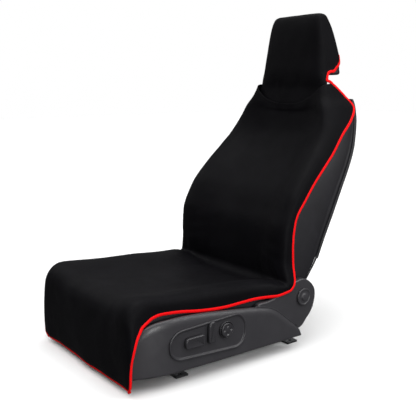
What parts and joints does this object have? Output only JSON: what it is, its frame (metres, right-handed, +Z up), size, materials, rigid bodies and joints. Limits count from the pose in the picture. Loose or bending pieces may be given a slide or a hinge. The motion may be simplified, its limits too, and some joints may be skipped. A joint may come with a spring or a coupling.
{
  "type": "car front seat",
  "caption": "Power-adjusted car front seat with reclining backrest, height-adjustable headrest and a dark slip-on cover with red edge binding.",
  "frame": {"origin": "on the floor, under the middle of the seat's overall box", "axes": "+Z up, +X towards the occupant's left (the side with the switches), the seat faces -Y"},
  "size_m": [0.5805, 0.9301, 1.0175],
  "materials": {
    "steel": "satin",
    "black_steel": "satin",
    "plastic": "matte",
    "panel": "matte",
    "switch": "satin",
    "foam": "matte",
    "vinyl": "matte",
    "neoprene": "matte",
    "binding": "matte"
  },
  "bodies": {
    "root": {"rail_lower_left": "steel", "rail_lower_right": "steel", "lead_screw_left": "steel", "lead_screw_right": "steel", "floor_bar_front": "black_steel", "floor_bar_rear": "black_steel"},
    "track_slide": {"rail_upper_left": "steel", "rail_upper_right": "steel", "track_gearbox_left": "black_steel", "track_gearbox_right": "black_steel", "track_motor": "black_steel", "drive_shaft": "steel"},
    "rear_links": {"rear_link_left": "black_steel", "rear_link_right": "black_steel", "torsion_tube": "black_steel"},
    "front_links": {"front_link_left": "black_steel", "front_link_right": "black_steel"},
    "seat_base": {"side_plate_left": "black_steel", "side_plate_right": "black_steel", "recliner_plate_left": "steel", "recliner_plate_right": "steel", "seat_pan": "black_steel", "seat_springs": "steel", "lift_motor": "black_steel", "cushion_pad": "foam", "cover_seat": "neoprene", "cover_flap": "neoprene", "binding_seat": "binding", "valance_left": "plastic", "valance_right": "plastic", "recliner_cover_left": "plastic", "recliner_cover_right": "plastic", "recliner_cap_left": "plastic", "recliner_cap_right": "plastic", "switch_panel": "panel"},
    "cushion_slider": {"cushion_switch_slider": "switch"},
    "cushion_rocker": {"cushion_switch_key": "switch"},
    "recline_lever": {"recline_switch_key": "switch"},
    "lumbar_ring": {"lumbar_switch_ring": "switch"},
    "lumbar_pad": {"lumbar_switch_key": "switch"},
    "backrest": {"back_side_left": "black_steel", "back_side_right": "black_steel", "headrest_guide_left": "plastic", "headrest_guide_right": "plastic", "back_top_tube": "black_steel", "back_cross_plate": "black_steel", "recliner_shaft": "steel", "recline_motor": "black_steel", "backrest_pad": "vinyl", "cover_back": "neoprene", "binding_back_left": "binding", "binding_back_right": "binding", "back_panel": "plastic"},
    "lumbar": {"lumbar_plate": "plastic"},
    "headrest": {"headrest_post_left": "steel", "headrest_post_right": "steel", "headrest_pad": "vinyl", "cover_hood": "neoprene", "binding_hood": "binding"}
  },
  "joints": [
    {"name": "track", "type": "slide", "parent": "root", "child": "track_slide", "axis": [0, 1, 0], "range_m": [-0.1, 0.12]},
    {"name": "seat_lift", "type": "hinge", "parent": "track_slide", "child": "rear_links", "pos_m": [0, 0.02, 0.06], "axis": [1, 0, 0], "range_deg": [0, 45]},
    {"name": "front_link_swing", "type": "hinge", "parent": "track_slide", "child": "front_links", "pos_m": [0, -0.235, 0.06], "axis": [1, 0, 0], "range_deg": [0, 45]},
    {"name": "base_level", "type": "hinge", "parent": "rear_links", "child": "seat_base", "pos_m": [0, 0.09517, 0.08736], "axis": [1, 0, 0], "range_deg": [-45, 0]},
    {"name": "recline", "type": "hinge", "parent": "seat_base", "child": "backrest", "pos_m": [0, 0.15, 0.163], "axis": [-1, 0, 0], "range_deg": [-8, 45]},
    {"name": "lumbar_support", "type": "slide", "parent": "backrest", "child": "lumbar", "axis": [0, -0.9042, 0.4271], "range_m": [0, 0.015]},
    {"name": "headrest_height", "type": "slide", "parent": "backrest", "child": "headrest", "axis": [0, 0.2756, 0.9613], "range_m": [0, 0.05]},
    {"name": "cushion_switch_slide", "type": "slide", "parent": "seat_base", "child": "cushion_slider", "axis": [0, 1, 0], "range_m": [-0.003, 0.003], "stiffness_N_per_m": 500},
    {"name": "cushion_switch_rock", "type": "hinge", "parent": "cushion_slider", "child": "cushion_rocker", "pos_m": [0.2833, -0.263, 0.119], "axis": [1, 0, 0], "range_deg": [-5, 5], "stiffness_Nm_per_rad": 0.3},
    {"name": "recline_switch", "type": "hinge", "parent": "seat_base", "child": "recline_lever", "pos_m": [0.2833, -0.2075, 0.118], "axis": [1, 0, 0], "range_deg": [-7, 7], "stiffness_Nm_per_rad": 0.3},
    {"name": "lumbar_switch_up_down", "type": "hinge", "parent": "seat_base", "child": "lumbar_ring", "pos_m": [0.2833, -0.155, 0.129], "axis": [0, 1, 0], "range_deg": [-2.5, 2.5], "stiffness_Nm_per_rad": 0.4},
    {"name": "lumbar_switch_fore_aft", "type": "hinge", "parent": "lumbar_ring", "child": "lumbar_pad", "pos_m": [0.2833, -0.155, 0.129], "axis": [0, 0, 1], "range_deg": [-2.5, 2.5], "stiffness_Nm_per_rad": 0.4}
  ],
  "couplings": [
    {"joint": "base_level", "follows": "seat_lift", "ratio": -1},
    {"joint": "front_link_swing", "follows": "seat_lift", "ratio": 1}
  ]
}
